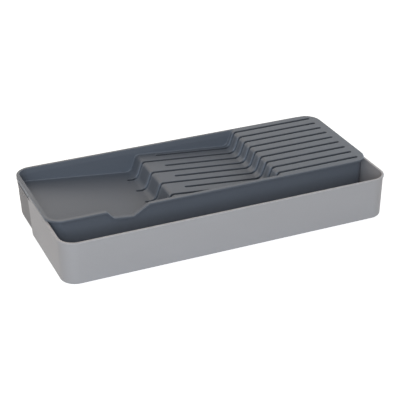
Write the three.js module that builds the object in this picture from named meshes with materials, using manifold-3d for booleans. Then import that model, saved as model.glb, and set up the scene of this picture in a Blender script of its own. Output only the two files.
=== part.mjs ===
// In-drawer knife organizer: a light open bin that stands in a drawer, and a dark slotted knife tray
// whose rim lies on the bin's rim. The tray covers the back of the bin and leaves a channel at the front.
// Millimetres, +Z up. X runs along the bin, from the handle well to the blade tips; the channel is at -Y.
// The origin is on the drawer floor, under the middle of the bin.

import * as THREE from "three";
import { mergeVertices } from "three/addons/utils/BufferGeometryUtils.js";
import Module from "manifold-3d";

// Bin
const LENGTH = 400; // over the rim, end to end
const CHANNEL = 46.2; // open strip at the front, from the bin's rim to the tray's
const RIM_HEIGHT = 52.7; // top of the rim above the drawer floor
const CORNER = 20; // plan radius of the rims' corners
const BIN_WALL = 2; // walls and floor
const BEAD_OUT = 1; // how far the rim's bead stands proud of the wall
const BEAD_HEIGHT = 2.4;
const BIN_EDGE = 2.5; // radius between walls and floor, outside
const DRAFT = 0.6; // lean of both pieces' walls, degrees
const STAND_OFF = 0.6; // underside above the drawer floor, on the feet

// Finger pockets in the bin's end walls, and the notches above them that the tray's tabs drop into
const POCKET_DEPTH = 3.6;
const POCKET_RUN = 65.6; // front edge of the pocket, from the back of the rim
const POCKET_RADIUS = 8;
const POCKET_BAND = 9.7; // plain wall between pocket and notch
const NOTCH_DEPTH = 3; // into the rim, from its top
const NOTCH_RUN = 68.6; // front edge of the notch, from the back of the rim
const TAB_DEPTH = 6; // how far the tabs reach in from the edge of the bin's rim
const TAB_CLEARANCE = 0.5; // tab to notch, at its front and inner edges

// Non-slip feet
const FOOT_DIAMETER = 14;
const FOOT_SINK = 0.9; // depth of the foot's socket in the floor
const FOOT_INSET = 32; // centre, from the rim's sides
const FOOT_CLEARANCE = 0.3; // round the foot and above it

// Knife tray
const SEAT_GAP = 0.3; // tray rim above bin rim
const WALL_CLEARANCE = 0.5; // tray walls to bin walls
const FLANGE = 2.8; // thickness of the tray's rim
const FLANGE_SHY = 0.4; // tray rim inside the bin's rim, at the ends and the back
const FRONT_LIP = 3; // the rim's overhang past the tray's front wall
const TRAY_WALL = 1.8;
const FRONT_WALL = 2.8;
const RIM_TAPER = 0.8; // how much the walls thin towards the rim, inside
const TAPER_HEIGHT = 6;

// Saw-tooth floor of the tray: handle well, riser, middle deck, riser, top deck level with the rim
const WELL_RUN = 149.4; // left end to the middle of the lower riser
const DECK_RUN = 129; // middle of the lower riser to the middle of the upper one
const LOWER_RISE = 21.6; // foot of the lower riser up to the middle deck
const UPPER_RISE = 19.8; // foot of the upper riser up to the top deck
const WELL_SLOPE = 6.2; // fall of the well floor towards the lower riser, degrees
const DECK_SLOPE = 5.2; // fall of the middle deck towards the upper riser, degrees
const RISER_LEAN = 20; // degrees off the vertical
const FOOT_RADIUS = 8; // curve at the foot of a riser
const NOSE_RADIUS = 5; // curve at its top
const DECK_WALL = 2.2;

// Blade slots: every second one reaches the well floor, the others stop on the middle deck
const SLOT_COUNT = 9;
const SLOT_PITCH = 15.2;
const SLOT_WIDTH = 3.2;
const SLOT_MARGIN = 11.2; // middle of an outer slot to the tray's rim
const SLOT_FLOOR = 10; // above the drawer floor
const SLOT_WALL = 1.8; // of the pockets that hang under the decks
const SLOT_END = 11; // end of the slots, from the tray's right end
const LONG_LEAD = 15.8; // start of a long slot, before the middle of the lower riser
const SHORT_LAG = 27.6; // start of a short slot, after the middle of the lower riser

// Finger dip in the tray's front rim, along the handle well
const DIP_START = 67; // from the left end
const DIP_IN = 8; // run of its left side
const DIP_FLOOR = 23; // run of its bottom
const DIP_OUT = 19.5; // run of its right side
const DIP_DEPTH = 10.4;
const DIP_RADIUS = 5;

const TRAY_WIDTH = (SLOT_COUNT - 1) * SLOT_PITCH + 2 * SLOT_MARGIN;
const WIDTH = CHANNEL + TRAY_WIDTH + FLANGE_SHY;
const END = LENGTH / 2;
const SIDE = WIDTH / 2;
const ARC_STEP = 15; // degrees between the points of a round stretch
const REACH = LENGTH; // cutting shapes run this far past what they cut

const tan = (degrees) => Math.tan(THREE.MathUtils.degToRad(degrees));

// Outlines

// A path with its inner corners rounded; each corner is [u, v, radius].
function rounded(corners) {
  const points = [];
  corners.forEach(([u, v, radius = 0], i) => {
    const here = new THREE.Vector2(u, v);
    if (radius === 0 || i === 0 || i === corners.length - 1) {
      points.push(here);
      return;
    }
    const into = here.clone().sub(new THREE.Vector2(...corners[i - 1])).normalize();
    const out = new THREE.Vector2(...corners[i + 1]).sub(here).normalize();
    const turn = Math.atan2(into.cross(out), into.dot(out));
    const back = radius * Math.tan(Math.abs(turn) / 2);
    const inward = new THREE.Vector2(-into.y, into.x).multiplyScalar(Math.sign(turn) * radius);
    const centre = here.clone().addScaledVector(into, -back).add(inward);
    const steps = Math.max(2, Math.ceil(THREE.MathUtils.radToDeg(Math.abs(turn)) / ARC_STEP));
    for (let k = 0; k <= steps; k++) {
      points.push(inward.clone().negate().rotateAround(new THREE.Vector2(), (turn * k) / steps).add(centre));
    }
  });
  return points;
}

// A rectangle with round corners, run anticlockwise from the middle of its right side.
function roundedBox(x0, x1, y0, y1, radius) {
  const corners = [[x1, y1], [x0, y1], [x0, y0], [x1, y0]].map(([x, y]) => [x, y, radius]);
  const start = [x1, (y0 + y1) / 2];
  return rounded([start, ...corners, start]).slice(1);
}

// The bin's plan outline, drawn in by inset all round.
function binOutline(inset) {
  return roundedBox(inset - END, END - inset, inset - SIDE, SIDE - inset, CORNER - inset);
}

// Solids

const wasm = await Module();
wasm.setup();

function solid(geometry) {
  const bare = geometry.clone();
  bare.deleteAttribute("normal");
  bare.deleteAttribute("uv");
  const merged = mergeVertices(bare, 1e-4);
  return new wasm.Manifold(new wasm.Mesh({
    numProp: 3,
    vertProperties: new Float32Array(merged.attributes.position.array),
    triVerts: new Uint32Array(merged.index.array),
  }));
}

// A closed body through outlines of equal point counts, each at its own height, from the lowest up.
function loft(sections) {
  const count = sections[0].outline.length;
  const positions = sections.flatMap(({ outline, z }) => outline.flatMap((p) => [p.x, p.y, z]));
  const index = [];
  for (let s = 0; s < sections.length - 1; s++) {
    for (let i = 0; i < count; i++) {
      const a = s * count + i;
      const b = s * count + ((i + 1) % count);
      index.push(a, b, b + count, a, b + count, a + count);
    }
  }
  const top = (sections.length - 1) * count;
  THREE.ShapeUtils.triangulateShape(sections[0].outline, []).forEach(([a, b, c]) => index.push(a, c, b));
  THREE.ShapeUtils.triangulateShape(sections.at(-1).outline, []).forEach(([a, b, c]) => {
    index.push(top + a, top + b, top + c);
  });
  const geometry = new THREE.BufferGeometry();
  geometry.setAttribute("position", new THREE.Float32BufferAttribute(positions, 3));
  geometry.setIndex(index);
  return solid(geometry);
}

// An upright body of one outline.
function prism(outline, z0, z1) {
  const geometry = new THREE.ExtrudeGeometry(new THREE.Shape(outline), { depth: z1 - z0, bevelEnabled: false });
  return solid(geometry.translate(0, 0, z0));
}

// A body whose outline lies in X and Z, run along Y from y0 to y1.
function alongY(outline, y0, y1) {
  const geometry = new THREE.ExtrudeGeometry(new THREE.Shape(outline), { depth: y1 - y0, bevelEnabled: false });
  return solid(geometry.rotateX(Math.PI / 2).translate(0, y1, 0));
}

// A body whose outline lies in Y and Z, run along X from x0 to x1.
function alongX(outline, x0, x1) {
  const geometry = new THREE.ExtrudeGeometry(new THREE.Shape(outline), { depth: x1 - x0, bevelEnabled: false });
  return solid(geometry.rotateX(Math.PI / 2).rotateZ(Math.PI / 2).translate(x0, 0, 0));
}

const joined = (solids) => solids.reduce((whole, next) => whole.add(next));

function mesh(name, body, finish) {
  const { numProp, vertProperties, triVerts } = body.getMesh();
  const geometry = new THREE.BufferGeometry();
  const positions = new Float32Array((vertProperties.length / numProp) * 3);
  for (let i = 0; i < positions.length / 3; i++) {
    positions.set(vertProperties.subarray(i * numProp, i * numProp + 3), i * 3);
  }
  geometry.setAttribute("position", new THREE.BufferAttribute(positions, 3));
  geometry.setIndex(new THREE.BufferAttribute(new Uint32Array(triVerts), 1));
  geometry.computeVertexNormals();
  const part = new THREE.Mesh(geometry, new THREE.MeshStandardMaterial({ ...finish, metalness: 0 }));
  part.name = name;
  return part;
}

// Bin: drafted walls under a small bead, round bottom edge, finger pockets and rim notches at both ends

const WALL_TOP = RIM_HEIGHT - BEAD_HEIGHT;
const NOTCH_FLOOR = RIM_HEIGHT - NOTCH_DEPTH;
const POCKET_TOP = NOTCH_FLOOR - POCKET_BAND;
const wallInset = (z) => BEAD_OUT + (WALL_TOP - z) * tan(DRAFT);

// The walls' sections above a floor at height base, drawn in by inset, with a round bottom edge.
function binSections(base, inset, edge) {
  const sections = [];
  for (let angle = 0; angle <= 90; angle += 2 * ARC_STEP) {
    const turn = THREE.MathUtils.degToRad(angle);
    const z = base + edge * (1 - Math.cos(turn));
    sections.push({ outline: binOutline(wallInset(z) + inset + edge * (1 - Math.sin(turn))), z });
  }
  return sections;
}

const binOuter = loft([
  ...binSections(STAND_OFF, 0, BIN_EDGE),
  { outline: binOutline(BEAD_OUT), z: WALL_TOP },
  { outline: binOutline(0), z: WALL_TOP + BEAD_OUT / 2 },
  { outline: binOutline(0), z: RIM_HEIGHT },
]);
const binCavity = loft([
  ...binSections(STAND_OFF + BIN_WALL, BIN_WALL, BIN_EDGE - BIN_WALL),
  { outline: binOutline(BEAD_OUT + BIN_WALL), z: WALL_TOP },
  { outline: binOutline(BEAD_OUT + BIN_WALL), z: REACH },
]);

// What lies outside a face at one end of the bin (-1 left, 1 right), within an outline in Y and Z.
function beyond(end, face, outline) {
  return end < 0 ? alongX(outline, -REACH, -face) : alongX(outline, face, REACH);
}

// Finger pocket of one end, grown by the given amount; it runs out through the bottom and the back corner.
const pocketFace = END - wallInset(POCKET_TOP) - POCKET_DEPTH;
function fingerPocket(end, grow) {
  const front = SIDE - POCKET_RUN - grow;
  const top = POCKET_TOP + grow;
  const outline = rounded([
    [REACH, top], [front, top, POCKET_RADIUS + grow], [front, -REACH], [REACH, -REACH],
  ]);
  return beyond(end, pocketFace - grow, outline);
}

// A block over one end's rim, from a front edge to past the back and upward from a height.
function rimBlock(end, depth, front, base) {
  const corners = [[front, base], [REACH, base], [REACH, REACH], [front, REACH]];
  return beyond(end, END - depth, rounded(corners));
}

const ends = [-1, 1];
const notches = ends.map((end) => rimBlock(end, TAB_DEPTH + TAB_CLEARANCE, SIDE - NOTCH_RUN, NOTCH_FLOOR));

const footPlaces = [
  ["foot_front_left", -1, -1], ["foot_front_right", 1, -1],
  ["foot_back_left", -1, 1], ["foot_back_right", 1, 1],
].map(([name, i, j]) => ({ name, x: i * (END - FOOT_INSET), y: j * (SIDE - FOOT_INSET) }));

function disc(diameter, z0, z1) {
  const geometry = new THREE.CylinderGeometry(diameter / 2, diameter / 2, z1 - z0, 360 / ARC_STEP);
  return geometry.rotateX(Math.PI / 2).translate(0, 0, (z0 + z1) / 2);
}

const sockets = footPlaces.map(({ x, y }) => {
  const socket = disc(FOOT_DIAMETER + 2 * FOOT_CLEARANCE, -REACH, STAND_OFF + FOOT_SINK);
  return solid(socket.translate(x, y, 0));
});

const bin = binOuter
  .subtract(joined(ends.map((end) => fingerPocket(end, 0))))
  .subtract(binCavity.subtract(joined(ends.map((end) => fingerPocket(end, BIN_WALL)))))
  .subtract(joined(notches))
  .subtract(joined(sockets));

// Knife tray: its rim lies over the bin's, and its end walls step in around the finger pockets

const SEAT = RIM_HEIGHT + SEAT_GAP; // underside of the tray's rim
const TRAY_TOP = SEAT + FLANGE;
const TRAY_BASE = SLOT_FLOOR - SLOT_WALL;
const TRAY_END = END - FLANGE_SHY;
const TRAY_BACK = SIDE - FLANGE_SHY;
const TRAY_FRONT = TRAY_BACK - TRAY_WIDTH;
const WALL_IN = BEAD_OUT + BIN_WALL + WALL_CLEARANCE; // end and back walls, from the edge of the bin's rim

// Plan outline of the tray's walls at a height, or of the space within them for a wall thickness.
function trayWalls(z, wall = 0, frontWall = wall) {
  const lean = Math.max(SEAT - z, 0) * tan(DRAFT);
  const end = END - WALL_IN - lean - wall;
  const front = TRAY_FRONT + FRONT_LIP + lean + frontWall;
  return roundedBox(-end, end, front, SIDE - WALL_IN - lean - wall, CORNER - WALL_IN - wall);
}

const rim = roundedBox(-TRAY_END, TRAY_END, TRAY_FRONT, TRAY_BACK, CORNER - FLANGE_SHY);
const flange = prism(rim, SEAT, TRAY_TOP);
const middle = SEAT + FLANGE / 2; // what joins the rim from below ends within it
const pocketRoom = joined(ends.map((end) => fingerPocket(end, BIN_WALL + WALL_CLEARANCE)));
const pocketWall = joined(ends.map((end) => fingerPocket(end, BIN_WALL + WALL_CLEARANCE + TRAY_WALL)));
const trayBody = loft([TRAY_BASE, SEAT, middle].map((z) => ({ outline: trayWalls(z), z })))
  .subtract(pocketRoom);

// Tabs under the rim that fill the bin's notches: fingers in the pockets lift the tray by them.
const tabs = ends.map((end) => (
  prism(rim, NOTCH_FLOOR + SEAT_GAP, middle)
    .intersect(rimBlock(end, TAB_DEPTH, SIDE - NOTCH_RUN + TAB_CLEARANCE, NOTCH_FLOOR))
));

// The saw-tooth floor, from past the left end to past the right one. A riser's foot and nose lie on its face;
// the lower nose is where the face meets the middle deck.
const lean = tan(RISER_LEAN);
const wellFall = tan(WELL_SLOPE);
const lowerRiser = WELL_RUN - END;
const upperFoot = lowerRiser + DECK_RUN - (UPPER_RISE / 2) * lean;
const deckLow = TRAY_TOP - UPPER_RISE;
const lowerFoot = lowerRiser - (LOWER_RISE / 2) * lean;
const lowerNose = lowerRiser + (LOWER_RISE / 2) * lean;
const deckHigh = deckLow + (upperFoot - lowerNose) * tan(DECK_SLOPE);
const wellLow = deckHigh - LOWER_RISE;
const floorLine = rounded([
  [-REACH, wellLow + (lowerFoot + REACH) * wellFall],
  [lowerFoot, wellLow, FOOT_RADIUS],
  [lowerNose, deckHigh, NOSE_RADIUS],
  [upperFoot, deckLow, FOOT_RADIUS],
  [upperFoot + UPPER_RISE * lean, TRAY_TOP, NOSE_RADIUS],
  [REACH, TRAY_TOP],
]);
const overFloor = [
  ...floorLine.slice(0, -1), new THREE.Vector2(floorLine.at(-2).x, REACH), new THREE.Vector2(-REACH, REACH),
];
const underFloor = [
  ...floorLine.map((p) => new THREE.Vector2(p.x + DECK_WALL, p.y - DECK_WALL)),
  new THREE.Vector2(REACH + DECK_WALL, -REACH), new THREE.Vector2(-REACH + DECK_WALL, -REACH),
];

const mouth = trayWalls(TRAY_TOP, TRAY_WALL - RIM_TAPER, FRONT_WALL - RIM_TAPER);
const handleSpace = loft([
  ...[TRAY_BASE, TRAY_TOP - TAPER_HEIGHT].map((z) => ({ outline: trayWalls(z, TRAY_WALL, FRONT_WALL), z })),
  { outline: mouth, z: TRAY_TOP },
  { outline: mouth, z: REACH },
]).intersect(alongY(overFloor, -REACH, REACH)).subtract(pocketWall);

// Slot number k from the front, grown by the given amount, upward from a height.
function slot(k, grow, base) {
  const x0 = lowerRiser + (k % 2 === 1 ? -LONG_LEAD : SHORT_LAG) + SLOT_WIDTH / 2;
  const x1 = TRAY_END - SLOT_END - SLOT_WIDTH / 2;
  const y = TRAY_FRONT + SLOT_MARGIN + k * SLOT_PITCH;
  const radius = SLOT_WIDTH / 2 + grow;
  const outline = new THREE.Shape()
    .absarc(x1, y, radius, -Math.PI / 2, Math.PI / 2)
    .absarc(x0, y, radius, Math.PI / 2, (3 * Math.PI) / 2);
  return prism(outline.getPoints(90 / ARC_STEP), base, REACH);
}

const slotNumbers = Array.from({ length: SLOT_COUNT }, (_, k) => k);
const slots = joined(slotNumbers.map((k) => slot(k, 0, SLOT_FLOOR)));
const slotPockets = joined(slotNumbers.map((k) => slot(k, SLOT_WALL, -REACH)));
const hollow = prism(trayWalls(TRAY_BASE, TRAY_WALL, FRONT_WALL), -REACH, TRAY_TOP)
  .intersect(alongY(underFloor, -REACH, REACH))
  .subtract(slotPockets)
  .subtract(pocketWall);

// The dip's line along the front rim, with the well floor's fall along its bottom.
const dipLeft = DIP_START - END;
const dipFall = (DIP_FLOOR / 2) * wellFall;
const dipLine = rounded([
  [dipLeft - DIP_RADIUS, TRAY_TOP],
  [dipLeft, TRAY_TOP, DIP_RADIUS],
  [dipLeft + DIP_IN, TRAY_TOP - DIP_DEPTH + dipFall, DIP_RADIUS],
  [dipLeft + DIP_IN + DIP_FLOOR, TRAY_TOP - DIP_DEPTH - dipFall, DIP_RADIUS],
  [dipLeft + DIP_IN + DIP_FLOOR + DIP_OUT, TRAY_TOP, DIP_RADIUS],
  [dipLeft + DIP_IN + DIP_FLOOR + DIP_OUT + DIP_RADIUS, TRAY_TOP],
]);
const wallFront = TRAY_FRONT + FRONT_LIP;
const dip = alongY(
  [...dipLine, new THREE.Vector2(dipLine.at(-1).x, REACH), new THREE.Vector2(dipLine[0].x, REACH)],
  -REACH, wallFront + 2 * FRONT_WALL,
);
const dipLip = alongY(
  [...dipLine.map((p) => new THREE.Vector2(p.x, p.y - FLANGE)), ...dipLine.toReversed()],
  TRAY_FRONT, wallFront + FRONT_WALL / 2,
);

const knifeTray = joined([flange, trayBody, ...tabs])
  .subtract(handleSpace)
  .subtract(hollow)
  .subtract(dip)
  .add(dipLip)
  .subtract(slots);

// The organizer

const organizer = new THREE.Group();
organizer.add(mesh("bin", bin, { color: 0xa9aaae, roughness: 0.55 }));
organizer.add(mesh("knife_tray", knifeTray, { color: 0x64676b, roughness: 0.6 }));
footPlaces.forEach(({ name, x, y }) => {
  const pad = solid(disc(FOOT_DIAMETER, 0, STAND_OFF + FOOT_SINK - FOOT_CLEARANCE));
  const foot = mesh(name, pad, { color: 0x2b2b2c, roughness: 0.9 });
  foot.position.set(x, y, 0);
  organizer.add(foot);
});

export default organizer;
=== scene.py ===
import math

import bmesh
import bpy
import numpy as np
from mathutils import Matrix, Vector
from mathutils.geometry import tessellate_polygon


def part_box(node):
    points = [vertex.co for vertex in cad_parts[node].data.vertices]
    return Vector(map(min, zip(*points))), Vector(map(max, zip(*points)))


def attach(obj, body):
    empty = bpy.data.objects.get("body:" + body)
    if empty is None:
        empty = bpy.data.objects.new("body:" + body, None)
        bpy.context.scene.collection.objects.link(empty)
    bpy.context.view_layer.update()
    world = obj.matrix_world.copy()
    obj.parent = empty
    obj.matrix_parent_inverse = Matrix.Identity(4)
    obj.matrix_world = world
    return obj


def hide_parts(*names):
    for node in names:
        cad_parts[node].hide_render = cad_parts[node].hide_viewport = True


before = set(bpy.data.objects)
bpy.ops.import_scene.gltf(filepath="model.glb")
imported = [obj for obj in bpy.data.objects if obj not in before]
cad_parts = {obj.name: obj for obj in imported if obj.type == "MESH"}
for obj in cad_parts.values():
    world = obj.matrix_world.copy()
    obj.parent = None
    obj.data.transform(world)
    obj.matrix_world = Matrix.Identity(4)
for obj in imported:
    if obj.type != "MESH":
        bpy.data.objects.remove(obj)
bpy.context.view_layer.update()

# Bin
# The open bin that stands in the drawer: one injection moulding in pale grey satin plastic.
# Its drafted walls end in a small bead, and each end has a finger pocket under a lowered stretch of rim.

MM = 0.001
bin_low, bin_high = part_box("bin")
END = bin_high.x
SIDE = bin_high.y
RIM_TOP = bin_high.z
BIN_CORNER = 20 * MM  # plan radius of the rim
CORNER_STEPS = 12  # of the mesh in a corner
SIDE_STEPS = 16  # and along a side
BIN_WALL = 2 * MM
BEAD_OUT = 1 * MM  # how far the bead stands proud of the wall
BEAD_HEIGHT = 2.4 * MM
BEAD_COVE = 0.7 * MM  # height of the curve under the bead
BEAD_ROUND = 0.9 * MM  # radius of its upper edge
INNER_ROUND = 0.6 * MM  # radius of the rim's inner edge
DRAFT = math.tan(math.radians(1))
BOTTOM_EDGE = 2.5 * MM  # radius between the walls and the underside
FLOOR_EDGE = 2 * MM  # radius between the walls and the floor, inside
POCKET_START = 1.4 * MM  # depth of the pocket at its top
POCKET_END = 4 * MM  # depth at the underside: the pocket's face slants in
POCKET_RUN = 67.2 * MM  # front edge of the pocket, from the back of the rim
POCKET_LEAN = 7.6 * MM  # how much further back its front edge is at the top
POCKET_DROP = 7.8 * MM  # top of the pocket, below the rim
POCKET_RADIUS = 3 * MM
POCKET_ROUND = 1.2 * MM  # half the width of the rounded step into the pocket
POCKET_OUTSIDE = 0.35  # share of that width that lies outside the pocket's outline
POCKET_GRID = 0.6 * MM  # spacing of the mesh at the pocket's edges
POCKET_GRAIN_AND_SHADE = 1.25  # coarseness of its grain, and painted shade that darkens the pocket
NOTCH_DEPTH = 6.6 * MM
NOTCH_RUN = 68.6 * MM  # front edge of the lowered rim, from the back of the rim
NOTCH_REACH = 8.5 * MM  # how far it goes round the back corner, from the end
NOTCH_ROUND = 1.6 * MM
FOOT_DIAMETER = 14 * MM
FOOT_ROOM = 0.3 * MM  # round each foot in its socket
SOCKET_DEPTH = 0.9 * MM
SOCKET_SIDES = 48
BIN_GREY = (0.472, 0.453, 0.472)
BIN_ROUGHNESS = 0.48
BIN_RIM_HIGHLIGHT = 0.3  # painted highlight: how much lighter the rim's top edge is painted
BIN_HIGHLIGHT_DEPTH = 1.4 * MM  # how far down that painted highlight reaches
WELD = 0.002 * MM  # points closer than this are one
CREASE = math.radians(34)  # edges that turn by less than this are shaded smooth


class Skin:
    """A mesh in the making: points that coincide are shared, and faces that collapse are left out."""

    def __init__(self):
        self.places = {}
        self.points = []
        self.faces = {}

    def point(self, place):
        key = tuple(round(value / WELD) for value in place)
        if key not in self.places:
            self.places[key] = len(self.points)
            self.points.append(tuple(place))
        return self.places[key]

    def face(self, *places):
        corners = []
        for place in places:
            index = self.point(place)
            if index not in corners:
                corners.append(index)
        if len(corners) > 2:
            self.faces.setdefault(frozenset(corners), corners)

    def bands(self, rings):
        """Faces between neighbouring closed rings."""
        for lower, upper in zip(rings, rings[1:]):
            for i in range(len(lower)):
                j = (i + 1) % len(lower)
                self.face(lower[i], lower[j], upper[j], upper[i])

    def fill(self, *loops):
        """A flat face within the first loop, with the other loops as holes."""
        corners = [place for loop in loops for place in loop]
        for triangle in tessellate_polygon([[Vector(place) for place in loop] for loop in loops]):
            self.face(*(corners[i] for i in triangle))

    def piece(self, name, material):
        """The finished object: faces turned outwards, and shading smooth up to the crease angle."""
        mesh = bpy.data.meshes.new(name)
        mesh.from_pydata(self.points, [], list(self.faces.values()))
        form = bmesh.new()
        form.from_mesh(mesh)
        bmesh.ops.remove_doubles(form, verts=form.verts, dist=WELD)
        bmesh.ops.recalc_face_normals(form, faces=form.faces)
        form.to_mesh(mesh)
        form.free()
        mesh.materials.append(material)
        mesh.polygons.foreach_set("use_smooth", [True] * len(mesh.polygons))
        mesh.set_sharp_from_angle(angle=CREASE)
        piece = bpy.data.objects.new(name, mesh)
        bpy.context.scene.collection.objects.link(piece)
        even = piece.modifiers.new("even shading", "WEIGHTED_NORMAL")
        even.keep_sharp = True
        return piece


class Wire:
    """The output of a node. Arithmetic on it adds Math nodes to its tree."""

    def __init__(self, nodes, socket):
        self.nodes = nodes
        self.socket = socket

    def math(self, operation, first, second):
        return self.nodes.add("ShaderNodeMath", {"operation": operation}, {0: first, 1: second})

    def __add__(self, other):
        return self.math("ADD", self, other)

    def __radd__(self, other):
        return self.math("ADD", other, self)

    def __sub__(self, other):
        return self.math("SUBTRACT", self, other)

    def __rsub__(self, other):
        return self.math("SUBTRACT", other, self)

    def __mul__(self, other):
        return self.math("MULTIPLY", self, other)

    def __rmul__(self, other):
        return self.math("MULTIPLY", other, self)

    def __truediv__(self, other):
        return self.math("DIVIDE", self, other)

    def __pow__(self, other):
        return self.math("POWER", self, other)


class Nodes:
    """A node tree that is filled by calls."""

    def __init__(self, tree):
        self.tree = tree
        tree.nodes.clear()

    def add(self, kind, settings=None, sockets=None, output=0):
        """A new node, as the wire from one of its outputs."""
        node = self.tree.nodes.new(kind)
        for name, value in (settings or {}).items():
            setattr(node, name, value)
        for name, value in (sockets or {}).items():
            if isinstance(value, Wire):
                self.tree.links.new(value.socket, node.inputs[name])
            else:
                node.inputs[name].default_value = value
        return Wire(self, node.outputs[output]) if node.outputs else node

    def outputs(self, kind, names, sockets=None):
        """A new node, as the wires from several of its outputs."""
        node = self.add(kind, None, sockets).socket.node
        return [Wire(self, node.outputs[name]) for name in names]

    def noise(self, place, scale, detail):
        return self.add("ShaderNodeTexNoise", None, {"Vector": place, "Scale": scale, "Detail": detail})


# The plastic's layers have a noise scale, in waves to the metre, and strengths in the colour and the sheen.
FLOW_STRETCH = (0.25, 1, 1)  # flow marks run along the mould
FLOW_SCALE, FLOW_SHADE, FLOW_SHEEN = 22, 0.1, 0.18
SPECK_SCALE, SPECK_SHADE, SPECK_SHEEN = 900, 0.03, 0.04
SPECK_BAND = (0.56, 0.7)  # range of the noise over which specks fade in
RIM_BAND_SCALE, RUB_SHEEN = 160, 0.08
RIM_BAND_PATCHES = (0.42, 0.62)
RIM_BAND_EVEN = 0.6  # share of the rubbed band, with its painted highlight on the bin, that isn't patchy
# The grip's strength in the colour is painted shade where the grain is coarse, and a painted highlight
# where it is smooth.
GRIP_SCALE, GRIP_PAINTED_SHADE, GRIP_SHEEN = 1100, 0.3, 0.12
GRIP_RELIEF = 2  # height of the coarse grain, against the grain's
GRAIN_SCALE, FINE_SCALE = 1900, 5200
FINE_RELIEF = 0.4
GRAIN_STRENGTH = 0.16
GRAIN_HEIGHT = 0.06 * MM
PLASTIC_IOR = 1.48
PLASTIC_GLOSS = 0.4


def moulded_plastic(name, grey, roughness, band_top, band_depth, wear_and_highlight):
    """Spark-textured moulded plastic: clouded grey, fine grain, and a band down from a height, smoother and
    lighter by an amount: rubbed wear where it is small, and a painted highlight where it is large, as on
    the bin's rim.

    Where the mesh's point attribute for grain and painted light is above 0, the grain is coarser and more
    matt, and the colour darker as painted shade. Where it is below 0, the plastic is smoother, glossier and
    lighter as a painted highlight.
    """
    material = bpy.data.materials.new(name)
    material.use_nodes = True
    nodes = Nodes(material.node_tree)
    place = nodes.add("ShaderNodeTexCoord", output="Object")
    along = nodes.add("ShaderNodeMapping", None, {"Vector": place, "Scale": FLOW_STRETCH})
    height = nodes.add("ShaderNodeSeparateXYZ", None, {0: place}, output="Z")

    def band(value, low, high):
        sockets = {"Value": value, "From Min": low, "From Max": high}
        return nodes.add("ShaderNodeMapRange", {"interpolation_type": "SMOOTHSTEP"}, sockets)

    flow = nodes.noise(along, FLOW_SCALE, 3) - 0.5
    specks = band(nodes.noise(place, SPECK_SCALE, 2), *SPECK_BAND)
    patches = band(nodes.noise(place, RIM_BAND_SCALE, 4), *RIM_BAND_PATCHES)
    # The band at the top is lighter: wear on the tray's rim, and a painted highlight along the bin's rim.
    rubbed_and_highlit = band(height, band_top - band_depth, band_top) * (RIM_BAND_EVEN + (1 - RIM_BAND_EVEN) * patches)
    grip_and_painted_light = nodes.add("ShaderNodeAttribute", {"attribute_name": "grip_and_painted_light"}, output="Fac")
    shade = 1 + flow * FLOW_SHADE + specks * SPECK_SHADE + rubbed_and_highlit * wear_and_highlight
    # The grip attribute darkens the colour as painted shade above 0, and lightens it as a painted highlight
    # below 0.
    tint = nodes.add("ShaderNodeVectorMath", {"operation": "SCALE"}, {
        0: grey, "Scale": shade * (1 - grip_and_painted_light * GRIP_PAINTED_SHADE),
    })
    sheen = roughness + flow * FLOW_SHEEN + specks * SPECK_SHEEN - rubbed_and_highlit * RUB_SHEEN + grip_and_painted_light * GRIP_SHEEN
    coarse = grip_and_painted_light * nodes.noise(place, GRIP_SCALE, 1) * GRIP_RELIEF
    grain = nodes.noise(place, GRAIN_SCALE, 2) + FINE_RELIEF * nodes.noise(place, FINE_SCALE, 1) + coarse
    relief = nodes.add("ShaderNodeBump", None, {
        "Strength": GRAIN_STRENGTH, "Distance": GRAIN_HEIGHT, "Height": grain,
    })
    surface = nodes.add("ShaderNodeBsdfPrincipled", None, {
        "Base Color": tint, "Roughness": sheen, "Normal": relief,
        "IOR": PLASTIC_IOR, "Specular IOR Level": PLASTIC_GLOSS,
    })
    nodes.add("ShaderNodeOutputMaterial", None, {"Surface": surface})
    return material


wall_top = RIM_TOP - BEAD_HEIGHT
bin_floor = bin_low.z + BIN_WALL
rim_width = BEAD_OUT + BIN_WALL
pocket_front = SIDE - POCKET_RUN
pocket_top = RIM_TOP - POCKET_DROP
notch_front = SIDE - NOTCH_RUN


def wall_inset(z):
    """How far the bin's outer wall lies inside the rim at a height."""
    return BEAD_OUT + (wall_top - z) * DRAFT


def pocket_face(z):
    """How far out the slanting face of a finger pocket lies at a height."""
    share = (pocket_top - z) / (pocket_top - bin_low.z)
    return END - wall_inset(z) - POCKET_START - (POCKET_END - POCKET_START) * share


def quarter(steps):
    """Angles of a quarter turn."""
    return [math.pi / 2 * k / steps for k in range(steps + 1)]


def rounding(radius, steps):
    """Points of a rounded edge, as distances from the two faces that it joins."""
    return [(radius * (1 - math.sin(a)), radius * (1 - math.cos(a))) for a in quarter(steps)]


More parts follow.
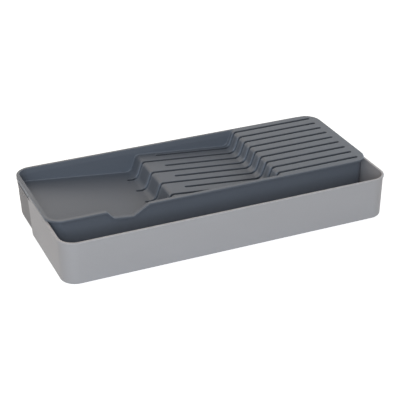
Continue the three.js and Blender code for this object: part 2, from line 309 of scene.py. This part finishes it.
# The walls' mesh is closest at the edges of the pockets and notches. Sections are rows of inset and height.
bin_levels = sorted({
    *(z * MM for z in (5, 9, 14, 19, 24, 28, 30.5)),
    *(pocket_top + k * POCKET_GRID for k in range(-14, 5)),
    *(RIM_TOP - drop * MM for drop in (9, 6, 4.2, 3.1)),
})
end_rows = sorted({
    *(y * MM for y in (-62, -46, -30, -14, 2, 14, 22)),
    *(notch_front + step * MM for step in (-0.5, 0, 0.15, 0.5, 1, 1.6)),
    *(pocket_front + k * POCKET_GRID for k in range(-2, 17)),
    *(y * MM for y in (43, 48, 54, 60, 67)),
})
side_columns = np.linspace(BIN_CORNER - END, END - BIN_CORNER, SIDE_STEPS + 1)[1:-1]
inner_levels = [min(z + BIN_WALL, wall_top) for z in reversed(bin_levels)]
outer_section = [
    *((wall_inset(bin_low.z) + inset, bin_low.z + lift) for inset, lift in rounding(BOTTOM_EDGE, 6)),
    *((wall_inset(z), z) for z in bin_levels),
    *((BEAD_OUT * (1 - math.sin(a)), wall_top + BEAD_COVE * (1 - math.cos(a))) for a in quarter(5)),
    *((inset, RIM_TOP - fall) for fall, inset in rounding(BEAD_ROUND, 5)),
]
inner_section = [
    *((rim_width - inset, RIM_TOP - fall) for inset, fall in rounding(INNER_ROUND, 4)),
    *((wall_inset(z) + BIN_WALL, z) for z in inner_levels),
    *((wall_inset(bin_floor) + BIN_WALL + inset, bin_floor + lift)
      for lift, inset in rounding(FLOOR_EDGE, 5)),
]
outer_insets, outer_heights = zip(*outer_section)


def rim_loop(columns, rows):
    """Points and outward directions round the bin's rim, anticlockwise from the front left corner."""
    x, y = END - BIN_CORNER, SIDE - BIN_CORNER
    sides = [
        [(c, -SIDE) for c in columns], [(END, r) for r in rows],
        [(c, SIDE) for c in reversed(columns)], [(-END, r) for r in reversed(rows)],
    ]
    centres = [(x, -y), (x, y), (-x, y), (-x, -y)]
    loop = []
    for k, (side, centre) in enumerate(zip(sides, centres)):
        outward = (math.sin(k * math.pi / 2), -math.cos(k * math.pi / 2))
        loop += [(*point, *outward) for point in side]
        for a in np.linspace(k - 1, k, CORNER_STEPS + 1) * math.pi / 2:
            n = (math.cos(a), math.sin(a))
            loop.append((centre[0] + BIN_CORNER * n[0], centre[1] + BIN_CORNER * n[1], *n))
    return loop


def rounded_drop(run, depth, radius):
    """Depth of a notch with a round inner corner, at a distance past its edge."""
    if run < 0:
        return 0
    rest = max(radius - run, 0)
    return depth - radius + math.sqrt(radius**2 - rest**2)


def pocket_share(y, z, grow):
    """0 outside a finger pocket and 1 within it, with a rounded step between them.

    The pocket's outline is grown by an amount, which is the wall's thickness for the inside.
    """
    radius = POCKET_RADIUS + grow
    lean = POCKET_LEAN * (z - bin_low.z) / (pocket_top - bin_low.z)
    across = y - pocket_front - lean + grow
    below = pocket_top + grow - z
    depth = min(across, below)
    if across < radius and below < radius:
        depth = radius - math.hypot(radius - across, radius - below)
    share = min(max(depth / (2 * POCKET_ROUND) + POCKET_OUTSIDE, 0), 1)
    return share * share * (3 - 2 * share)


bin_loop = rim_loop(side_columns, end_rows)


def bin_ring(inset, z, grow):
    """The loop drawn in by an inset at a height, lowered at the notches and pushed in at the pockets."""
    ring = []
    for x, y, nx, ny in bin_loop:
        rim = RIM_TOP
        if abs(x) > END - NOTCH_REACH:
            rim -= rounded_drop(y - notch_front, NOTCH_DEPTH, NOTCH_ROUND)
        drawn = inset
        if z > rim:
            drawn = max(inset, np.interp(rim, outer_heights, outer_insets))
        x, y, height = x - nx * drawn, y - ny * drawn, min(z, rim)
        pushed = math.copysign(min(abs(x), pocket_face(height) - grow), x)
        ring.append((x + (pushed - x) * pocket_share(y, height, grow), y, height))
    return ring


bin_skin = Skin()
bin_rings = [bin_ring(inset, z, 0) for inset, z in outer_section]
bin_rings += [bin_ring(inset, z, BIN_WALL) for inset, z in inner_section]
bin_skin.bands(bin_rings)
bin_skin.fill(bin_rings[-1])

foot_nodes = [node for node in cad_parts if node.startswith("foot_")]
foot_boxes = [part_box(node) for node in foot_nodes]
foot_centres = [(low + high) / 2 for low, high in foot_boxes]
socket_radius = FOOT_DIAMETER / 2 + FOOT_ROOM
socket_turns = np.linspace(0, 2 * math.pi, SOCKET_SIDES + 1)[:-1]
socket_ring = [(socket_radius * math.cos(a), socket_radius * math.sin(a)) for a in socket_turns]
socket_mouths = []
for centre in foot_centres:
    mouth = [(centre.x + x, centre.y + y, bin_low.z) for x, y in socket_ring]
    roof = [(x, y, z + SOCKET_DEPTH) for x, y, z in mouth]
    bin_skin.bands([mouth, roof])
    bin_skin.fill(roof)
    socket_mouths.append(mouth)
bin_skin.fill(bin_rings[0], *socket_mouths)

bin_plastic = moulded_plastic("bin plastic", BIN_GREY, BIN_ROUGHNESS, RIM_TOP, BIN_HIGHLIGHT_DEPTH, BIN_RIM_HIGHLIGHT)
bin_piece = bin_skin.piece("bin_moulding", bin_plastic)
# The finger pocket gets a coarser grain, and is painted darker as shade.
bin_grain_and_shade = bin_piece.data.attributes.new("grip_and_painted_light", "FLOAT", "POINT")
for vertex, grain in zip(bin_piece.data.vertices, bin_grain_and_shade.data):
    x, y, z = vertex.co
    outside = 1 + (abs(x) - pocket_face(z)) / (BIN_WALL / 2)
    above = (z - bin_low.z) / POCKET_ROUND
    grain.value = POCKET_GRAIN_AND_SHADE * pocket_share(y, z, 0) * max(min(outside, above, 1), 0)
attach(bin_piece, "bin")
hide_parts("bin")

# Feet
# Four black rubber pads under the bin, so that it doesn't slide in the drawer.
# Each is a moulded flat disc with soft edges, pressed into a round socket and stuck in by its top.

FOOT_EDGE = 0.16  # lower is squarer
FOOT_SEGMENTS = 48
FOOT_RINGS = 28
FOOT_POLE = 0.0001  # nearest to the axis that a point's direction is worked out
RUBBER_BLACK = (0.022, 0.022, 0.023)
RUBBER_ROUGHNESS = 0.74
BLOOM_SCALE = 240  # of the pale bloom on old rubber
BLOOM_DARKEST = 0.7
BLOOM_SHADE = 0.7
BLOOM_SHEEN = 0.2
CRUMB_SCALE = 2600
CRUMB_STRENGTH = 0.3
CRUMB_HEIGHT = 0.05 * MM

rubber = bpy.data.materials.new("foot rubber")
rubber.use_nodes = True
rubber_nodes = Nodes(rubber.node_tree)
rubber_place = rubber_nodes.add("ShaderNodeTexCoord", output="Object")
bloom = rubber_nodes.noise(rubber_place, BLOOM_SCALE, 3)
crumb = rubber_nodes.noise(rubber_place, CRUMB_SCALE, 2)
rubber_tint = rubber_nodes.add("ShaderNodeVectorMath", {"operation": "SCALE"}, {
    0: RUBBER_BLACK, "Scale": BLOOM_DARKEST + bloom * BLOOM_SHADE,
})
rubber_relief = rubber_nodes.add("ShaderNodeBump", None, {
    "Strength": CRUMB_STRENGTH, "Distance": CRUMB_HEIGHT, "Height": crumb,
})
rubber_surface = rubber_nodes.add("ShaderNodeBsdfPrincipled", None, {
    "Base Color": rubber_tint, "Roughness": RUBBER_ROUGHNESS + bloom * BLOOM_SHEEN, "Normal": rubber_relief,
})
rubber_nodes.add("ShaderNodeOutputMaterial", None, {"Surface": rubber_surface})

foot_tree = bpy.data.node_groups.new("rubber feet", "GeometryNodeTree")
feet = Nodes(foot_tree)
foot_low, foot_high = foot_boxes[0]
foot_sizes = {
    "Diameter": FOOT_DIAMETER, "Thickness": foot_high.z - foot_low.z, "Edge": FOOT_EDGE,
    "Spacing X": 2 * abs(foot_centres[0].x), "Spacing Y": 2 * abs(foot_centres[0].y),
}
foot_inputs = {}
for size in foot_sizes:
    socket = foot_tree.interface.new_socket(size, in_out="INPUT", socket_type="NodeSocketFloat")
    foot_inputs[size] = socket.identifier
foot_tree.interface.new_socket("Feet", in_out="OUTPUT", socket_type="NodeSocketGeometry")
diameter, thickness, edge, spacing_x, spacing_y = feet.outputs("NodeGroupInput", foot_sizes)
ball = feet.add("GeometryNodeMeshUVSphere", None, {
    "Segments": FOOT_SEGMENTS, "Rings": FOOT_RINGS, "Radius": 1.0,
})
ball_place = feet.add("GeometryNodeInputPosition")
ball_x, ball_y, ball_z = feet.outputs("ShaderNodeSeparateXYZ", "XYZ", {0: ball_place})
around = (ball_x * ball_x + ball_y * ball_y) ** 0.5
spread = around ** edge / around.math("MAXIMUM", around, FOOT_POLE) * diameter * 0.5
depth = ball_z.math("ABSOLUTE", ball_z, 0.0) ** edge * ball_z.math("SIGN", ball_z, 0.0)
pad_place = feet.add("ShaderNodeCombineXYZ", None, {
    "X": ball_x * spread, "Y": ball_y * spread, "Z": (depth + 1) * thickness * 0.5,
})
pad = feet.add("GeometryNodeSetPosition", None, {"Geometry": ball, "Position": pad_place})
spots = feet.add("GeometryNodeMeshGrid", None, {
    "Size X": spacing_x, "Size Y": spacing_y, "Vertices X": 2, "Vertices Y": 2,
})
pads = feet.add("GeometryNodeInstanceOnPoints", None, {"Points": spots, "Instance": pad})
whole = feet.add("GeometryNodeRealizeInstances", None, {"Geometry": pads})
smooth = feet.add("GeometryNodeSetShadeSmooth", None, {"Geometry": whole})
coated = feet.add("GeometryNodeSetMaterial", None, {"Geometry": smooth, "Material": rubber})
feet.add("NodeGroupOutput", None, {0: coated})

feet_piece = bpy.data.objects.new("rubber_feet", bpy.data.meshes.new("rubber_feet"))
bpy.context.scene.collection.objects.link(feet_piece)
maker = feet_piece.modifiers.new("rubber feet", "NODES")
maker.node_group = foot_tree
for size, value in foot_sizes.items():
    maker[foot_inputs[size]] = value
feet_piece.update_tag()
scene_now = bpy.context.evaluated_depsgraph_get()
made = bpy.data.meshes.new_from_object(feet_piece.evaluated_get(scene_now))
feet_piece.modifiers.remove(maker)
feet_piece.data = made
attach(feet_piece, "bin")
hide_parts(*foot_nodes)

# Knife tray
# The lift-out tray: one thin-walled moulding in dark grey matt plastic, hollow underneath.
# Its rim lies loose on the bin's, with a tab in each of the bin's notches. Its floor rises in two steps,
# and nine blade slots hang below the decks as pockets.

tray_low, tray_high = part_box("knife_tray")
TRAY_TOP = tray_high.z
TRAY_BASE = tray_low.z
FLANGE = 2.8 * MM  # thickness of the tray's rim
RIM_RADIUS = BIN_CORNER - (END - tray_high.x)
RIM_ROUND = 0.8 * MM  # outer edge of the rim
LIP_ROUND = 0.5 * MM  # its inner edge
SEAT_ROUND = 0.6 * MM  # its lower edge, over the bin's rim
LIP_TAPER = 0.8 * MM  # how much the walls thin towards the rim, inside
TAPER_HEIGHT = 6 * MM
WALL_IN = 3.1 * MM  # the walls' outer face, from the edge of the rim
TRAY_WALL = 1.8 * MM
FRONT_WALL = 2.8 * MM
BASE_ROUND = 0.6 * MM  # outer edge of the walls at their base
BASE_CHAMFER = 0.3 * MM  # inner edge there
WALL_LEVELS = (30 * MM, 18 * MM)  # heights of the mesh's rings between the rim and the base, outside
INNER_LEVEL = 20 * MM  # and inside, under the floor
INNER_CORNER = 13.2 * MM
RIGHT_CORNER = 9.2 * MM  # the top deck runs into the rim at the right, so its grid is squarer there
CORNER_COVE = 1.3 * MM  # cove between the floor and the end and back walls
FRONT_COVE = 1.6 * MM  # the same at the front, beside the outer slot
DECK_WALL = 2.2 * MM
TAB_DROP = 6 * MM  # the tab at each end, below the rim
TAB_STEP = 3.2 * MM  # height of its lower part, which is set in
TAB_IN = 1.7 * MM  # how far that is set in from the rim's edge
TAB_RUN = 68.1 * MM  # its front end, from the back of the bin's rim
TAB_REACH = 6.5 * MM
WELL_RUN = 149.4 * MM  # left end of the bin to the middle of the lower riser
DECK_RUN = 129 * MM  # from there to the middle of the upper riser
LOWER_RISE = 21.6 * MM
UPPER_RISE = 19.8 * MM
WELL_FALL = math.tan(math.radians(6.2))
DECK_FALL = math.tan(math.radians(5.2))
RISER_LEAN = math.tan(math.radians(20))
FOOT_CURVE = 8 * MM  # at the foot of a riser
NOSE_CURVE = 5 * MM  # at its top
SLOT_COUNT = 9
SLOT_PITCH = 15.2 * MM
SLOT_MARGIN = 11.2 * MM  # middle of an outer slot to the tray's rim
SLOT_RADIUS = 1.6 * MM
SLOT_ROUND = 1 * MM  # rounding of a slot's edges
SLOT_GRAIN_AND_SHADE = 1.7  # the slots' walls are left rough by the mould, and painted darker as shade
LIP_GLOSS_AND_HIGHLIGHT = -1.7  # on the risers the slots' lips are smoother, and painted lighter as a highlight
LIP_SHARE = 0.3  # share of a lip that is as rough as the walls and painted as dark with shade
DECK_FLAT = 0.95  # upward part of the floor's direction where the lips are rough and painted in shade
RISER_FLAT = 0.5  # and where they are smooth and painted with a highlight
SLOT_FLOOR = 10 * MM
SLOT_SKIN = 1.2 * MM  # wall of the pockets below
SLOT_END = 11 * MM  # from the right end of the rim
LONG_LEAD = 15.8 * MM  # start of a long slot, before the middle of the lower riser
SHORT_LAG = 27.6 * MM  # start of a short slot, after it
DIP_START = 67 * MM  # from the left end of the bin
DIP_IN = 8 * MM
DIP_FLOOR = 23 * MM
DIP_OUT = 19.5 * MM
DIP_DEPTH = 10.4 * MM
DIP_CURVE = 5 * MM
JOG_ROOM = BIN_WALL + 0.5 * MM  # the walls step in round the bin's pockets by this clearance
INNER_ROOM = JOG_ROOM + TRAY_WALL  # and their inside by this one
STEP_HALF = 0.1 * MM  # half the width of the mesh at such a step
GRID_WIDEST = 9 * MM  # between columns of the floor's mesh
GRID_CLOSEST = 0.04 * MM
ROW_GAP = 0.05 * MM  # least room between its rows
CURVE_STEP = math.radians(7)
TRAY_GREY = (0.149, 0.164, 0.198)
TRAY_ROUGHNESS = 0.43
TRAY_RUB = 0.06
TRAY_RUB_DEPTH = 2 * MM

tray_end, tray_back, tray_front = tray_high.x, tray_high.y, tray_low.y
rim_plan = (tray_end, tray_front, tray_back, RIM_RADIUS)
wall_plan = (tray_end - WALL_IN, tray_front + WALL_IN, tray_back - WALL_IN, RIM_RADIUS - WALL_IN)
inner_plan = (
    wall_plan[0] - TRAY_WALL, wall_plan[1] + FRONT_WALL, wall_plan[2] - TRAY_WALL, INNER_CORNER,
)


def onto(place, plan, inset=0):
    """The nearest point of a rounded plan, drawn in by an inset, to a place near its edge."""
    half, front, back, radius = plan
    x = min(max(place[0], radius - half), half - radius)
    y = min(max(place[1], front + radius), back - radius)
    away = math.hypot(place[0] - x, place[1] - y)
    scale = (radius - inset) / away
    return x + (place[0] - x) * scale, y + (place[1] - y) * scale


def rounded_line(corners):
    """A line through corners of (x, z, radius), as rows of x, z and the upward direction there."""
    line = []
    last = len(corners) - 1
    for k, (x, z, radius) in enumerate(corners):
        here = Vector((x, z))
        into = (here - Vector(corners[max(k, 1) - 1][:2])).normalized()
        out = (Vector(corners[min(k, last - 1) + 1][:2]) - here).normalized()
        if k in (0, last):
            into = out = out if k == 0 else into
        turn = math.atan2(into.x * out.y - into.y * out.x, into.dot(out))
        up = Vector((-into.y, into.x))
        inward = up * math.copysign(radius, turn)
        centre = here - into * radius * math.tan(abs(turn) / 2) + inward
        count = max(1, math.ceil(abs(turn) / CURVE_STEP)) if radius else 0
        for j in range(count + 1):
            spin = Matrix.Rotation(turn * j / max(count, 1), 2)
            line.append((*(centre - spin @ inward), *(spin @ up)))
    return np.array(line)


lower_riser = WELL_RUN - END
lower_foot = lower_riser - LOWER_RISE / 2 * RISER_LEAN
lower_nose = lower_riser + LOWER_RISE / 2 * RISER_LEAN
upper_foot = lower_riser + DECK_RUN - UPPER_RISE / 2 * RISER_LEAN
deck_low = TRAY_TOP - UPPER_RISE
deck_high = deck_low + (upper_foot - lower_nose) * DECK_FALL
well_low = deck_high - LOWER_RISE
floor_line = rounded_line([
    (-END, well_low + (lower_foot + END) * WELL_FALL, 0),
    (lower_foot, well_low, FOOT_CURVE),
    (lower_nose, deck_high, NOSE_CURVE),
    (upper_foot, deck_low, FOOT_CURVE),
    (upper_foot + UPPER_RISE * RISER_LEAN, TRAY_TOP, NOSE_CURVE),
    (END, TRAY_TOP, 0),
])
dip_left = DIP_START - END
dip_tilt = DIP_FLOOR / 2 * WELL_FALL
dip_line = rounded_line([
    (dip_left - DIP_CURVE, TRAY_TOP, 0),
    (dip_left, TRAY_TOP, DIP_CURVE),
    (dip_left + DIP_IN, TRAY_TOP - DIP_DEPTH + dip_tilt, DIP_CURVE),
    (dip_left + DIP_IN + DIP_FLOOR, TRAY_TOP - DIP_DEPTH - dip_tilt, DIP_CURVE),
    (dip_left + DIP_IN + DIP_FLOOR + DIP_OUT, TRAY_TOP, DIP_CURVE),
    (dip_left + DIP_IN + DIP_FLOOR + DIP_OUT + DIP_CURVE, TRAY_TOP, 0),
])


def floor_at(x):
    """Height of the tray's floor at a place along it, with the upward direction."""
    return [float(np.interp(x, floor_line[:, 0], floor_line[:, k])) for k in (1, 2, 3)]


def spaced(places):
    """Places in order, without near doubles, and with others between them where they lie far apart."""
    kept = []
    for place in sorted(places):
        if kept and place - kept[-1] < GRID_CLOSEST:
            continue
        if kept and place - kept[-1] > GRID_WIDEST:
            parts = math.ceil((place - kept[-1]) / GRID_WIDEST)
            kept += list(np.linspace(kept[-1], place, parts + 1)[1:-1])
        kept.append(place)
    return kept


# The floor is laid out in columns along the tray, each crossed by rows that open round the slots.
floor_end = inner_plan[0] - CORNER_COVE
floor_front = inner_plan[1] + FRONT_COVE
floor_back = inner_plan[2] - CORNER_COVE
left_corner = INNER_CORNER - CORNER_COVE
slot_places = [tray_front + SLOT_MARGIN + k * SLOT_PITCH for k in range(SLOT_COUNT)]
slot_starts = [
    lower_riser + (-LONG_LEAD if k % 2 else SHORT_LAG) + SLOT_RADIUS for k in range(SLOT_COUNT)
]
slot_stop = tray_end - SLOT_END - SLOT_RADIUS
slot_edge = [(SLOT_RADIUS + aside, depth) for aside, depth in rounding(SLOT_ROUND, 4)]
pocket_edge = [(SLOT_RADIUS + SLOT_SKIN, 0)]
end_steps = sorted({
    *(radius for radius, _ in slot_edge + pocket_edge),
    *(SLOT_RADIUS * share for share in (0, 0.5, 0.87)),
    *((SLOT_RADIUS + SLOT_SKIN) * share for share in (0.5, 0.87)),
})
columns = spaced([
    *(left_corner * (1 - math.cos(a)) - floor_end for a in quarter(9)),
    *(floor_end - RIGHT_CORNER * (1 - math.cos(a)) for a in quarter(6)),
    *(x for x in floor_line[:, 0] if abs(x) < floor_end - left_corner),
    *dip_line[:, 0],
    *(start - step for start in slot_starts for step in end_steps),
    *(slot_stop + step for step in end_steps),
])
jog_front = pocket_front - JOG_ROOM
jog_top = pocket_top + JOG_ROOM
shelf = pocket_top + INNER_ROOM  # top of the step that the pocket makes in the well's end wall
tab_front = SIDE - TAB_RUN
step_rows = [
    *(tab_front + step * MM for step in (-0.1, 0.1, 0.25, 0.6, 1.1, 1.7)),
    jog_front - TRAY_WALL - STEP_HALF,
    jog_front - TRAY_WALL + STEP_HALF,
]


def floor_span(x):
    """Front and back edges of the floor's grid at a place along it."""
    into, radius = max(left_corner - floor_end - x, 0), left_corner
    if x > 0:
        into, radius = max(x - floor_end + RIGHT_CORNER, 0), RIGHT_CORNER
    lost = radius - math.sqrt(max(radius**2 - into**2, 0))
    return floor_front + lost, floor_back - lost


def floor_rows(x, edge):
    """Rows across the floor at a column: place, depth below the floor, and the slot that opens after it."""
    front, back = floor_span(x)
    radii, depths = zip(*edge)
    rows = [(front, 0, None)]
    for k, middle in enumerate(slot_places):
        beyond = max(slot_starts[k] - x, x - slot_stop, 0)
        widths = [math.sqrt(max(radius**2 - beyond**2, 0)) for radius in radii]
        sunk = [float(np.interp(max(radius, beyond), radii[::-1], depths[::-1])) for radius in radii]
        opens = [None] * (len(edge) - 1) + [k]
        rows += [(middle - width, depth, slot) for width, depth, slot in zip(widths, sunk, opens)]
        rows += [(middle + width, depth, None) for width, depth in zip(widths[::-1], sunk[::-1])]
        if k < SLOT_COUNT - 1:
            between = [middle + SLOT_PITCH / 2]
            if middle < jog_front < middle + SLOT_PITCH:
                between = sorted(between + step_rows)
            low = middle + widths[0]
            rows += [(max(place, low + (j + 1) * ROW_GAP), 0, None) for j, place in enumerate(between)]
    rows.append((back, 0, None))
    return [(min(max(place, front), back), depth, slot) for place, depth, slot in rows]


def jogged(place, room):
    """A point of the tray's walls, stepped in round the bin's finger pocket by a clearance."""
    x, y, z = place
    if y > pocket_front - room and z < pocket_top + room:
        x = math.copysign(min(abs(x), pocket_face(z) - room), x)
    return x, y, z


tray_skin = Skin()


def lay_floor(edge, under, slot_bottom):
    """One face of the floor: a sheet at a distance under the top, with its slots going down to a height."""
    grid = []
    for x in columns:
        z, up_x, up_z = floor_at(x)
        places = []
        for y, depth, slot in floor_rows(x, edge):
            sunk = under + depth
            places.append((jogged((x - up_x * sunk, y, z - up_z * sunk), INNER_ROOM), slot))
        grid.append(places)
    for left, right, x_left, x_right in zip(grid, grid[1:], columns, columns[1:]):
        for r in range(len(left) - 1):
            tops = [place for place, _ in (left[r], right[r], right[r + 1], left[r + 1])]
            slot = left[r][1]
            if slot is None or max(slot_starts[slot] - x_left, x_right - slot_stop) > edge[-1][0] + WELD:
                tray_skin.face(*tops)
                continue
            ends = [(x, top[1], slot_bottom) for x, top in zip((x_left, x_right, x_right, x_left), tops)]
            tray_skin.face(*ends)
            tray_skin.face(tops[0], tops[1], ends[1], ends[0])
            tray_skin.face(tops[2], tops[3], ends[3], ends[2])


lay_floor(slot_edge, 0, SLOT_FLOOR)
lay_floor(pocket_edge, DECK_WALL, TRAY_BASE)


def inner_face(place, top):
    """The inside of the tray's wall, from the floor's edge up a cove to the rim."""
    floor, up_x, up_z = floor_at(place[0])
    foot = onto(place, inner_plan)
    cove = CORNER_COVE * min((top - floor) / (2 * CORNER_COVE), 1)
    edge = LIP_ROUND * min((top - floor) / (4 * LIP_ROUND), 1)
    low, high = floor + up_z * cove, top - edge
    face = []
    for a in quarter(5):
        lift = cove * (1 - math.cos(a))
        x, y = (start + (stop - start) * math.sin(a) for start, stop in zip(place, foot))
        face.append(jogged((x + up_x * lift, y, floor + up_z * lift), INNER_ROOM))
    taper = max(TRAY_TOP - TAPER_HEIGHT, shelf + 2 * STEP_HALF)
    for level in (shelf - STEP_HALF, shelf + STEP_HALF, taper):
        face.append(jogged((*foot, min(max(level, low), high)), INNER_ROOM))
    for a in quarter(3):
        out = LIP_TAPER + LIP_ROUND * (1 - math.cos(a))
        face.append((*onto(place, inner_plan, -out), high + edge * math.sin(a)))
    return face


def rim_face(place, top, ledge, seat):
    """The rim's edge, from its top round to the underside of its flange or tab."""
    face = [(*onto(place, rim_plan, inset), top - fall) for inset, fall in rounding(RIM_ROUND, 5)]
    face += [(*onto(place, rim_plan, inset), ledge + lift) for lift, inset in rounding(SEAT_ROUND, 4)]
    return face + [(*onto(place, rim_plan, TAB_IN), level) for level in (ledge, seat)]


def outer_face(place, seat):
    """The outside of the tray's wall, from under the rim down to its base."""
    face = [(*onto(place, wall_plan, -out), seat - fall) for out, fall in rounding(LIP_ROUND, 3)]
    for level in (jog_top + STEP_HALF, jog_top - STEP_HALF, *WALL_LEVELS):
        level = min(level, seat - 2 * LIP_ROUND)
        face.append(jogged((*onto(place, wall_plan, (seat - level) * DRAFT), level), JOG_ROOM))
    lean = (TRAY_TOP - TRAY_BASE) * DRAFT
    for lift, inset in rounding(BASE_ROUND, 3):
        face.append(jogged((*onto(place, wall_plan, lean + inset), TRAY_BASE + lift), JOG_ROOM))
    return face


def under_face(place):
    """The hollow side of the tray's wall, from its base up to the underside of the floor."""
    floor, up_x, up_z = floor_at(place[0])
    foot = onto(place, inner_plan)
    roof = floor - up_z * DECK_WALL
    levels = (TRAY_BASE + BASE_CHAMFER, INNER_LEVEL, shelf - STEP_HALF, shelf + STEP_HALF)
    face = [
        (*onto(place, inner_plan, -BASE_CHAMFER), TRAY_BASE),
        *((*foot, min(level, roof)) for level in levels),
        *((x - up_x * DECK_WALL, y, roof) for x, y in (foot, place)),
    ]
    return [jogged(point, INNER_ROOM) for point in face]


def wall_section(place):
    """The tray's wall at a place on the floor's edge: up the inside, over the rim and back under."""
    top = TRAY_TOP
    if place[1] < 0:
        top = float(np.interp(place[0], dip_line[:, 0], dip_line[:, 1]))
    tab = 0
    rim_x, rim_y = onto(place, rim_plan)
    if abs(rim_x) > END - TAB_REACH:
        tab = rounded_drop(rim_y - tab_front, TAB_DROP, NOTCH_ROUND)
    seat = top - FLANGE - tab
    rim = rim_face(place, top, seat + min(TAB_STEP, tab), seat)
    return inner_face(place, top) + rim + outer_face(place, seat) + under_face(place)


tray_loop = [(x, floor_span(x)[0]) for x in columns]
tray_loop += [(columns[-1], y) for y, *_ in floor_rows(columns[-1], pocket_edge)]
tray_loop += [(x, floor_span(x)[1]) for x in reversed(columns)]
tray_loop += [(columns[0], y) for y, *_ in reversed(floor_rows(columns[0], pocket_edge))]
tray_loop = [p for p, before in zip(tray_loop, tray_loop[-1:] + tray_loop) if math.dist(p, before) > WELD]
tray_skin.bands([list(ring) for ring in zip(*(wall_section(place) for place in tray_loop))])

tray_plastic = moulded_plastic(
    "tray plastic", TRAY_GREY, TRAY_ROUGHNESS, TRAY_TOP, TRAY_RUB_DEPTH, TRAY_RUB,
)
tray_piece = tray_skin.piece("knife_tray_moulding", tray_plastic)
# On the decks the slots' walls and lips are painted darker as shade, and on the risers the lips lighter as
# a painted highlight.
tray_grain_shade_and_highlight = tray_piece.data.attributes.new("grip_and_painted_light", "FLOAT", "POINT")
for vertex, grain in zip(tray_piece.data.vertices, tray_grain_shade_and_highlight.data):
    x, y, z = vertex.co
    if z < TRAY_BASE + WELD:
        continue
    flat = min(max((floor_at(x)[2] - RISER_FLAT) / (DECK_FLAT - RISER_FLAT), 0), 1)
    for middle, start in zip(slot_places, slot_starts):
        beyond = max(start - x, x - slot_stop, 0)
        away = math.hypot(y - middle, beyond) - SLOT_RADIUS
        if away < WELD and z < SLOT_FLOOR + WELD:
            grain.value = SLOT_GRAIN_AND_SHADE
        elif away < SLOT_ROUND + WELD:
            rough_and_shaded = SLOT_GRAIN_AND_SHADE if away < SLOT_ROUND * LIP_SHARE else 0
            grain.value = LIP_GLOSS_AND_HIGHLIGHT * (1 - flat) + rough_and_shaded * flat
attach(tray_piece, "knife_tray")
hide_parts("knife_tray")

# Set
# A pale floor under the feet and a plain sky. A large soft lamp above and behind is warm,
# and the smaller ones in front and at the back are cool.
# The camera stands where the photograph was taken from, in front and to the left.

FLOOR_HALF = 6
FLOOR_PALE = (0.85, 0.85, 0.85)
FLOOR_GLOW = 0.8  # brings the lit floor to white
SKY = (1.0, 0.94, 0.84)
SKY_LIGHT = 0.24
KEY_WARM = (1.0, 0.83, 0.63)
FRONT_COOL = (0.8, 0.92, 1.0)
BACK_COOL = (0.62, 0.83, 1.0)
CAMERA_TURN = math.radians(-23.519)
CAMERA_RISE = math.radians(28.089)
CAMERA_ROLL = math.radians(-0.123)
CAMERA_DISTANCE = 1.4297
CAMERA_AIM = Vector((0.0135, 0.0323, 0))
CAMERA_LENS = 105.75
CAMERA_REACH = 50

floor_corners = [(FLOOR_HALF * x, FLOOR_HALF * y, 0) for x, y in ((-1, -1), (1, -1), (1, 1), (-1, 1))]
floor_mesh = bpy.data.meshes.new("floor")
floor_mesh.from_pydata(floor_corners, [], [(0, 1, 2, 3)])
floor = bpy.data.objects.new("floor", floor_mesh)
bpy.context.scene.collection.objects.link(floor)
floor_paint = bpy.data.materials.new("floor paint")
floor_paint.use_nodes = True
paint = Nodes(floor_paint.node_tree)


def shown_ray(nodes):
    """1 for a ray that shows the surroundings, also in a reflection, and 0 for one that gives light."""
    rays = ("Is Camera Ray", "Is Glossy Ray", "Is Transmission Ray")
    direct, glossy, clear = nodes.outputs("ShaderNodeLightPath", rays)
    return direct.math("MAXIMUM", direct, glossy.math("MAXIMUM", glossy, clear))


paint_matt = paint.add("ShaderNodeBsdfDiffuse", None, {"Color": (*FLOOR_PALE, 1)})
paint_glow = paint.add("ShaderNodeEmission", None, {"Strength": shown_ray(paint) * FLOOR_GLOW})
paint_both = paint.add("ShaderNodeAddShader", None, {0: paint_matt, 1: paint_glow})
paint.add("ShaderNodeOutputMaterial", None, {"Surface": paint_both})
floor_mesh.materials.append(floor_paint)

world = bpy.data.worlds.new("studio")
world.use_nodes = True
bpy.context.scene.world = world
studio = Nodes(world.node_tree)
sky_light = studio.add("ShaderNodeBackground", None, {"Color": (*SKY, 1), "Strength": SKY_LIGHT})
sky_white = studio.add("ShaderNodeBackground", None, {"Color": (1, 1, 1, 1), "Strength": 1.0})
sky = studio.add("ShaderNodeMixShader", None, {0: shown_ray(studio), 1: sky_light, 2: sky_white})
studio.add("ShaderNodeOutputWorld", None, {"Surface": sky})


def soft_lamp(name, place, width, power, colour):
    """A square soft box that faces the object."""
    lamp = bpy.data.lights.new(name, "AREA")
    lamp.shape = "SQUARE"
    lamp.size = width
    lamp.energy = power
    lamp.color = colour
    holder = bpy.data.objects.new(name, lamp)
    holder.location = place
    holder.visible_camera = False
    holder.rotation_euler = (-Vector(place)).to_track_quat("-Z", "Y").to_euler()
    bpy.context.scene.collection.objects.link(holder)


soft_lamp("key", place=(-0.2, 1.3, 1.4), width=2.0, power=8.3, colour=KEY_WARM)
soft_lamp("front fill", place=(-0.7, -1.6, 0.84), width=0.9, power=16.8, colour=FRONT_COOL)
soft_lamp("back fill", place=(1.6, 1.0, 0.4), width=0.9, power=10, colour=BACK_COOL)

camera = bpy.data.objects.new("camera", bpy.data.cameras.new("camera"))
camera.data.lens = CAMERA_LENS
camera.data.clip_end = CAMERA_REACH
camera.matrix_world = (
    Matrix.Translation(CAMERA_AIM)
    @ Matrix.Rotation(CAMERA_TURN, 4, "Z")
    @ Matrix.Rotation(math.pi / 2 - CAMERA_RISE, 4, "X")
    @ Matrix.Translation((0, 0, CAMERA_DISTANCE))
    @ Matrix.Rotation(CAMERA_ROLL, 4, "Z")
)
bpy.context.scene.collection.objects.link(camera)
bpy.context.scene.camera = camera
bpy.context.scene.view_settings.view_transform = "Standard"
